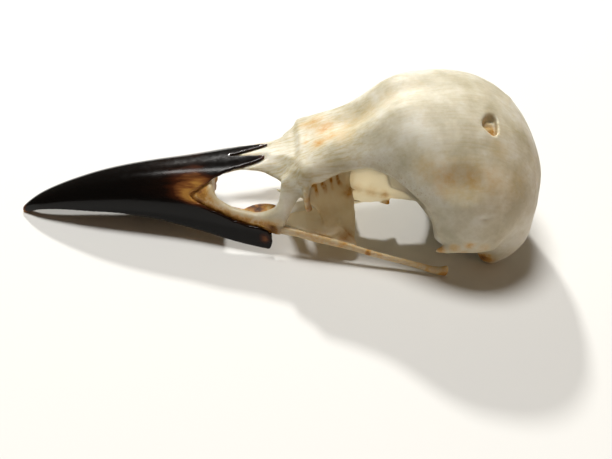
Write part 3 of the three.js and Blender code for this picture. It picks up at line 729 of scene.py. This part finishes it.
def dry_bleached_bone():
    """Bone, cleaned and sun-bleached: a satin cream that light enters a little, with ochre to brown
    where old fat and the horn's dye soaked in, and painted shade in the forehead's groove and on
    the palate's shelf; paler, partly as painted light, where walls are thin or sit in shade; faint
    fibres along the forehead, and fine pores."""
    bone = new_material("dry_bleached_bone")
    place = add(bone, "TexCoord").outputs["Object"]
    in_mm = add(bone, "VectorMath", {0: place, "Scale": 1 / MM}, operation="SCALE").outputs[0]
    stain_and_painted_shade, wall, pores_here, fibres_here = [
        add(bone, "Attribute", attribute_name=name).outputs["Fac"]
        for name in ("stain_and_painted_shade", "thin_wall_and_painted_light", "pores", "fibres")]
    # Cloudy patches about 7 mm across, where the bone bleached unevenly.
    clouds = add(bone, "TexNoise", {"Vector": in_mm, "Scale": 0.15, "Detail": 6,
                                    "Roughness": 0.62}).outputs["Fac"]
    cream = add(bone, "ValToRGB", {0: clouds}, [(0.37, CREAM["dull"]), (0.5, CREAM["plain"]),
                                                (0.62, CREAM["bleached"])]).outputs[0]
    # Fibres of the bone, really 0.1 mm apart and drawn 0.4 mm apart to show.
    stretched = add(bone, "Mapping", {"Vector": in_mm, "Scale": (0.14, 2.4, 1.2)}).outputs[0]
    fibres = add(bone, "TexNoise", {"Vector": stretched, "Scale": 1, "Detail": 3,
                                    "Roughness": 0.6}).outputs["Fac"]
    streak = add(bone, "ValToRGB", {0: fibres}, [(0.36, "#eee4ca"), (0.54, "#ffffff")]).outputs[0]
    streaked = add(bone, "Mix", {0: fibres_here, 6: cream, 7: streak}, data_type="RGBA",
                   blend_type="MULTIPLY").outputs[2]
    # Stains, and the painted shade in the forehead's groove and on the palate's shelf, broken up in
    # flecks about 1.2 mm across.
    flecks = add(bone, "TexNoise", {"Vector": in_mm, "Scale": 0.8, "Detail": 6,
                                    "Roughness": 0.62}).outputs["Fac"]
    broken = add(bone, "MapRange", {"Value": flecks, 1: 0.34, 2: 0.64, 3: -0.4, 4: 0.3}).outputs[0]
    unevenly = add(bone, "Math", {0: broken, 1: stain_and_painted_shade, 2: stain_and_painted_shade}, operation="MULTIPLY_ADD",
                   use_clamp=True).outputs[0]
    stain_and_shade_tint = add(bone, "ValToRGB", {0: unevenly}, [
        (0.0, STAIN_AND_SHADE_COLOURS["light"]), (0.4, STAIN_AND_SHADE_COLOURS["ochre"]), (0.66, STAIN_AND_SHADE_COLOURS["orange"]),
        (0.86, STAIN_AND_SHADE_COLOURS["brown"]), (1.0, STAIN_AND_SHADE_COLOURS["dark"])]).outputs[0]
    stain_and_shade_share = add(bone, "MapRange", {"Value": unevenly, 1: 0.04, 2: 0.45, 3: 0, 4: 1}).outputs[0]
    # Walls under 1 mm thick let light through, drawn with a translucent shader. Their paler, warmer
    # colour is partly painted light: the glow of light coming through the wall between the eyes,
    # and a painted brightening of the walls in front of the eyes and of the palate, which sit in
    # shade.
    pale_thin_and_painted_light = add(bone, "Mix", {0: wall, 6: streaked, 7: colour(CREAM["thin"])},
               data_type="RGBA").outputs[2]
    stained_and_shaded = add(bone, "Mix", {0: stain_and_shade_share, 6: pale_thin_and_painted_light, 7: stain_and_shade_tint}, data_type="RGBA").outputs[2]
    # Pores, really 0.1 mm across and drawn 0.3 mm across to show.
    cells = add(bone, "TexVoronoi", {"Vector": in_mm, "Scale": 2.3}).outputs["Distance"]
    pits = add(bone, "MapRange", {"Value": cells, 1: 0.1, 2: 0.32, 3: 0.7, 4: 0}).outputs[0]
    pitted = add(bone, "Math", {0: pits, 1: pores_here}, operation="MULTIPLY").outputs[0]
    shade = add(bone, "Mix", {0: pitted, 6: stained_and_shaded, 7: colour(STAIN_AND_SHADE_COLOURS["orange"])},
                data_type="RGBA").outputs[2]
    # The feel of the surface: a fine grain, really 0.1 mm and drawn 0.4 mm, the fibres, the pores.
    grain = add(bone, "TexNoise", {"Vector": in_mm, "Scale": 2.6, "Detail": 4,
                                   "Roughness": 0.6}).outputs["Fac"]
    grained = add(bone, "Bump", {"Strength": 0.25, "Distance": 0.05 * MM,
                                 "Height": grain}).outputs[0]
    fibre_depth = add(bone, "Math", {0: fibres, 1: fibres_here}, operation="MULTIPLY").outputs[0]
    fibred = add(bone, "Bump", {"Strength": 0.3, "Distance": 0.06 * MM, "Height": fibre_depth,
                                "Normal": grained}).outputs[0]
    solid = add(bone, "Math", {0: 1.0, 1: pitted}, operation="SUBTRACT").outputs[0]
    pored = add(bone, "Bump", {"Strength": 0.7, "Distance": 0.15 * MM, "Height": solid,
                               "Normal": fibred}).outputs[0]
    satin = add(bone, "MapRange", {"Value": grain, 1: 0.3, 2: 0.7, 3: 0.44, 4: 0.6}).outputs[0]
    surface = add(bone, "BsdfPrincipled", {
        "Base Color": shade, "Roughness": satin, "IOR": 1.55, "Subsurface Weight": 0.5,
        "Subsurface Radius": (1.0, 0.78, 0.5), "Subsurface Scale": 0.9 * MM, "Normal": pored})
    lit_through = add(bone, "BsdfTranslucent", {"Color": shade})
    thinned = add(bone, "MixShader", {0: wall, 1: surface.outputs[0], 2: lit_through.outputs[0]})
    return finish_material(bone, thinned.outputs[0])


def polished_black_horn():
    """Horn of the bill: keratin, worn to a polish by use. Black and glossy, going reddish brown and
    then amber where it thins out over the bone, with faint growth lines along it."""
    horn = new_material("polished_black_horn")
    place = add(horn, "TexCoord").outputs["Object"]
    in_mm = add(horn, "VectorMath", {0: place, "Scale": 1 / MM}, operation="SCALE").outputs[0]
    thin = add(horn, "Attribute", attribute_name="thin_edge").outputs["Fac"]
    # Growth lines along the bill, really 0.2 mm apart and drawn 0.8 mm apart to show.
    stretched = add(horn, "Mapping", {"Vector": in_mm, "Scale": (0.09, 1.3, 1.3)}).outputs[0]
    lines = add(horn, "TexNoise", {"Vector": stretched, "Scale": 1, "Detail": 4}).outputs["Fac"]
    wander = add(horn, "MapRange", {"Value": lines, 1: 0.3, 2: 0.7, 3: -0.3, 4: 0.3}).outputs[0]
    edge = add(horn, "Math", {0: wander, 1: thin, 2: thin}, operation="MULTIPLY_ADD",
               use_clamp=True).outputs[0]
    shade = add(horn, "ValToRGB", {0: edge}, [
        (0.0, HORN_SHADE["black"]), (0.25, HORN_SHADE["deep"]), (0.5, HORN_SHADE["red brown"]),
        (0.75, HORN_SHADE["brown"]), (1.0, HORN_SHADE["amber"])]).outputs[0]
    # Scuffs about 1 mm across, where the polish is a little duller.
    scuffs = add(horn, "TexNoise", {"Vector": in_mm, "Scale": 0.9, "Detail": 6,
                                    "Roughness": 0.65}).outputs["Fac"]
    lined = add(horn, "Bump", {"Strength": 0.12, "Distance": 0.05 * MM,
                               "Height": lines}).outputs[0]
    scuffed = add(horn, "Bump", {"Strength": 0.05, "Distance": 0.03 * MM, "Height": scuffs,
                                 "Normal": lined}).outputs[0]
    polish = add(horn, "MapRange", {"Value": scuffs, 1: 0.35, 2: 0.7, 3: 0.12, 4: 0.2}).outputs[0]
    surface = add(horn, "BsdfPrincipled", {
        "Base Color": shade, "Roughness": polish, "IOR": 1.54, "Specular IOR Level": 0.17,
        "Subsurface Weight": 0.1, "Subsurface Radius": (1.0, 0.4, 0.2),
        "Subsurface Scale": 0.5 * MM, "Normal": scuffed})
    return finish_material(horn, surface.outputs[0])


def matt_white_card():
    """Card under the skull, uncoated: a plain white without gloss."""
    card = new_material("matt_white_card")
    surface = add(card, "BsdfPrincipled", {"Base Color": colour("#dededc"), "Roughness": 0.9})
    return finish_material(card, surface.outputs[0])


# ---- the skull's pieces -----------------------------------------------------------------------

BONE = dry_bleached_bone()
HORN = polished_black_horn()

# Stains, and patches of painted shade: x, y, z, radius in mm and strength. Each lies on one side,
# the left where y is negative.
STAINS_AND_PAINTED_SHADE = [
    (52.0, 3.6, 18.7, 2.2, 0.36), (53.6, 0.9, 19.2, 2.6, 0.38), (54.6, -2.2, 19.7, 2.4, 0.34),
    (52.2, -3.4, 18.9, 1.7, 0.4), (50.3, 4.3, 17.6, 1.2, 0.34), (56.5, -4.2, 20.4, 2.4, 0.22),
    # From (57.5, 0, 20.8) to (68, 1, 27): painted shade, a light tan darkening along the groove of
    # the forehead.
    (50.3, 0.5, 17.9, 0.7, 0.3), (50.2, -1.7, 17.8, 0.7, 0.34), (57.5, 0, 20.8, 3.6, 0.19),
    (61, 0, 22.6, 3.4, 0.17), (64.5, 0.4, 25.4, 3.4, 0.15), (68, 1, 27, 3.2, 0.1),
    # From (69.2, -14.6, 21.2) to (84, -15.4, 19.6): a brown band along the braincase's left side,
    # where its top turns down into the side.
    (69.2, -14.6, 21.2, 2.8, 0.2), (72.6, -15.4, 20.6, 3.4, 0.25), (76.2, -15.8, 20.6, 3.4, 0.25),
    (79.6, -16.4, 20.8, 3.2, 0.2), (84, -15.4, 19.6, 3.4, 0.12), (81, -12.4, 24.4, 2.4, 0.12),
    (87.5, -9, 18, 3.5, 0.12), (79.8, -8.1, 24.3, 2.0, 0.5), (82.3, -13.2, 2.2, 1.8, 0.66),
    (81, -12, 1.2, 1.6, 0.5),
    (73.1, -17.1, 6.9, 0.9, 0.5), (75.4, -17.7, 7.9, 0.9, 0.5), (77.7, -18.3, 8.9, 1.0, 0.42),
    (80, -17.4, 8.2, 1.4, 0.3), (73.0, -16.9, 5.8, 0.9, 0.4), (77, -17.2, 6.5, 1.2, 0.36),
    (52.2, -6.0, 12.8, 1.0, 0.6), (53.6, -7.0, 13.0, 1.0, 0.55), (55.4, -8.2, 13.4, 1.1, 0.5),
    (50.4, -9.5, 11.4, 1.1, 0.42), (50.6, -9.9, 9.7, 1.1, 0.5), (57.8, -9.7, 3.0, 1.8, 0.5),
    (52.8, -7.6, 10.2, 0.9, 0.55), (54, -8.5, 7.5, 2.6, 0.22), (56.5, -7.5, 9.5, 1.8, 0.3),
    # (42.0, -5.6, 6.3) and (45.5, -5.6, 6.3): painted shade, a dark brown on the palate's shelf,
    # which lies in shade under the nostril.
    (34.8, -4.8, 11.4, 1.6, 0.36), (42.0, -5.6, 6.3, 2.4, 0.9), (45.5, -5.6, 6.3, 1.6, 0.7),
    (75, -15.8, 1.0, 1.6, 0.5), (72, -15.4, 1.2, 1.0, 0.42), (61.6, -13.2, 3.0, 0.8, 0.75),
    (53, -11.8, 4.4, 2.0, 0.36), (57, -12.4, 3.8, 2.0, 0.36),
    (66.4, -0.8, 4.7, 0.9, 0.55), (58.9, -2.4, 6.4, 1.2, 0.4), (58.4, -2.4, 8.2, 1.4, 0.4),
    (60.5, -1.6, 7.6, 1.3, 0.32), (63, -1.3, 7, 1.5, 0.28), (65.4, -1.0, 6.4, 1.0, 0.34),
]
CHEEK_BAR_TAN = 0.26
STREAK_SPACING = 1.5  # mm between the streaks of old fat
# Where the rims of the eye sockets are full of pores, on both sides.
PORES = [(x, side * y, z, 2.6, strength) for side in (-1, 1) for x, y, z, strength in (
    (63.1, 10.8, 17.5, 0.8), (66, 12.6, 16.8, 0.9), (68.2, 14.5, 15.8, 0.9))]


def blobs(at, rows):
    """How much of the listed patches reaches each point."""
    total = np.zeros(len(at))
    for x, y, z, radius, strength in rows:
        gap = ((at - (x, y, z)) ** 2).sum(1)
        total = np.maximum(total, strength * np.exp(-gap / (radius * radius)))
    return total


def band(value, start, risen, falling, end):
    """1 between risen and falling, and 0 outside start and end."""
    return step_between(start, risen, value) * step_between(end, falling, value)


def horn_dye(x, y, z):
    """Dye that went from the horn into the bone behind it, but less into the nostril's edge."""
    from_horn = np.maximum(-horn_reach(x, y, z), 0)
    dyed = 0.64 * np.exp(-(from_horn / 3.2) ** 1.4)
    dyed = dyed * step_between(47.8, 44.5, x) * step_between(11.8, 10.2, z)
    return dyed * (1 - 0.7 * np.exp(-(outlined(x, z, NOSTRIL) / 0.9) ** 2))


def fat_streaks(x, y, z):
    """Streaks and a band above them, where old fat ran down the wall in front of the eye."""
    wander = 1.2 * ripples((x, y, z), 3, 41)
    waves = np.sin(2 * math.pi * (x + 0.35 * z) / STREAK_SPACING + wander)
    streaks = np.clip(0.45 + 0.8 * waves, 0, 1)
    streaks = np.maximum(streaks, 0.9 * step_between(11.8, 13, z))
    streaks *= band(x, 50.6, 51.4, 57.6, 58.8)
    streaks *= band(z, 8.2, 10.6, 13.6, 14.6)
    return streaks * band(np.abs(y), 1.6, 2.4, 11, 12)


def dress_bone(piece, at, tan=0.0):
    """Paints where the bone is stained, thin, porous and fibrous, and where painted shade and
    painted light lie on it, gives it its material and attaches it to the root.
    """
    x, y, z = at.T
    before_eye = band(x, 50.2, 51, 59.4, 60.2) * step_between(13.8, 12.5, z)
    before_eye *= step_between(11.8, 10.8, np.abs(y))
    streaks = np.maximum(0.4 * fat_streaks(x, y, z), 0.08 * before_eye)
    stain_and_painted_shade = np.maximum(horn_dye(x, y, z), streaks)
    paint(piece, "stain_and_painted_shade", np.maximum(stain_and_painted_shade, np.maximum(blobs(at, STAINS_AND_PAINTED_SHADE), tan)))
    # Painted light: the thin wall between the eyes is paler, as the glow of light through it. The
    # walls in front of the eyes and the palate get the same paler colour, which brightens them
    # where they sit in shade.
    between_eyes = band(x, 50, 50.8, 71, 74) * step_between(14.5, 12.5, z)
    between_eyes = 0.8 * between_eyes * step_between(2.2, 1.4, np.abs(y))
    palate = band(x, 43.5, 45, 58, 60) * step_between(6.4, 5.9, z)
    palate *= step_between(11, 10.4, np.abs(y)) * step_between(3, 3.8, z)
    paint(piece, "thin_wall_and_painted_light", np.maximum(between_eyes, 0.8 * np.maximum(before_eye, palate)))
    paint(piece, "pores", blobs(at, PORES))
    forehead = (1 - step_between(56, 66, x)) * step_between(34, 40, x) * step_between(10.5, 13, z)
    paint(piece, "fibres", np.maximum(forehead, 0.35 * step_between(14, 18, z)))
    piece.data.materials.append(BONE)
    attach(piece, "root")
    return piece


bone_nodes = ["premaxilla", "forehead", "nasal_bridge", "braincase", "orbital_septum"]
for paired in ("maxilla", "nasal_bar", "front_wall", "palatine"):
    bone_nodes += [paired + "_left", paired + "_right"]
skull = dress_bone(*skin("skull_bone", skull_bone_form()))
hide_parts(*bone_nodes)

for side, name in ((-1, "left"), (1, "right")):
    cheek_bar = dress_bone(*skin("cheek_bar_" + name, cheek_bar_form(side)), CHEEK_BAR_TAN)
    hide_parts("jugal_" + name)


def horn_thinness(x, y, z):
    """Where the horn is thin and its colour pales: its back edge, most of all over the bone in
    front of the nostril, its cutting edge and tip, and the ends of its prongs."""
    edge_gap = np.maximum(horn_reach(x, y, z), 0)
    over_core = step_between(35, 31, x) * step_between(6.4, 8.2, z)
    fading = (0.3 + 0.7 * over_core) * np.exp(-(edge_gap / (0.5 + 2.8 * over_core)) ** 1.2)
    cutting_edge, tip = np.exp(-((z - TOMIUM_Z(x)) / 0.3) ** 2), np.exp(-(x / 0.7) ** 2)
    long_prong = np.exp(-((x - 43.6) / 1.1) ** 2 - ((z - 3.3) / 1.2) ** 2)
    upper_prongs = np.exp(-((x - 43.2) / 1.3) ** 2) * step_between(10, 11, z)
    thin = np.maximum(fading, 0.45 * cutting_edge + 0.9 * tip)
    return np.maximum(thin, 0.62 * long_prong + 0.5 * upper_prongs)


horn_sheath, at = skin("horn_sheath", horn_sheath_form())
paint(horn_sheath, "thin_edge", horn_thinness(*at.T))
horn_sheath.data.materials.append(HORN)
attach(horn_sheath, "root")
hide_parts("beak_sheath")

# ---- table, light and camera ------------------------------------------------------------------

TABLE_HALF = 3.0  # metres
table_mesh = bpy.data.meshes.new("white_card")
table_mesh.from_pydata([(-TABLE_HALF, -TABLE_HALF, 0), (TABLE_HALF, -TABLE_HALF, 0),
                        (TABLE_HALF, TABLE_HALF, 0), (-TABLE_HALF, TABLE_HALF, 0)],
                       [], [(0, 1, 2, 3)])
table = bpy.data.objects.new("white_card", table_mesh)
table.data.materials.append(matt_white_card())
bpy.context.scene.collection.objects.link(table)


def lamp(name, place, aim, size, power, tint):
    """A round lamp with a soft edge, its place and size in metres."""
    light = bpy.data.lights.new(name, "AREA")
    light.shape = "DISK"
    light.size = size
    light.energy = power
    light.color = colour(tint)[:3]
    holder = bpy.data.objects.new(name, light)
    holder.location = place
    holder.rotation_euler = (Vector(aim) - Vector(place)).to_track_quat("-Z", "Y").to_euler()
    bpy.context.scene.collection.objects.link(holder)


lamp("key_lamp", (-0.12, 0.75, 0.55), (0, 0, 0.01), size=0.07, power=7.2, tint="#fffdf8")
lamp("top_softbox", (-0.16, 0.16, 0.93), (0, 0, 0.01), size=0.36, power=8.2, tint="#fffefb")
lamp("fill_card", (0.45, -0.35, 0.2), (0.01, 0, 0.01), size=0.4, power=0.45, tint="#ffc890")

world = bpy.data.worlds.new("studio")
world.use_nodes = True
world.node_tree.nodes["Background"].inputs["Color"].default_value = colour("#efe2cc")
world.node_tree.nodes["Background"].inputs["Strength"].default_value = 0.08
bpy.context.scene.world = world
bpy.context.scene.view_settings.view_transform = "Standard"

CAMERA_AT = (36.209, -145.655, 109.018)  # mm
camera_data = bpy.data.cameras.new("camera")
camera_data.lens = 57.67
camera_data.sensor_width = 36
camera_data.clip_start = 0.01
camera = bpy.data.objects.new("camera", camera_data)
right = Vector((0.99608, -0.05122, 0.07210))
forward = Vector((0.08453, 0.79097, -0.60599))
upward = Vector((-0.02599, 0.60971, 0.79220))
camera.matrix_world = Matrix((
    (right.x, upward.x, -forward.x, (CAMERA_AT[0] - MIDDLE_X) * MM),
    (right.y, upward.y, -forward.y, CAMERA_AT[1] * MM),
    (right.z, upward.z, -forward.z, CAMERA_AT[2] * MM),
    (0, 0, 0, 1)))
bpy.context.scene.collection.objects.link(camera)
bpy.context.scene.camera = camera
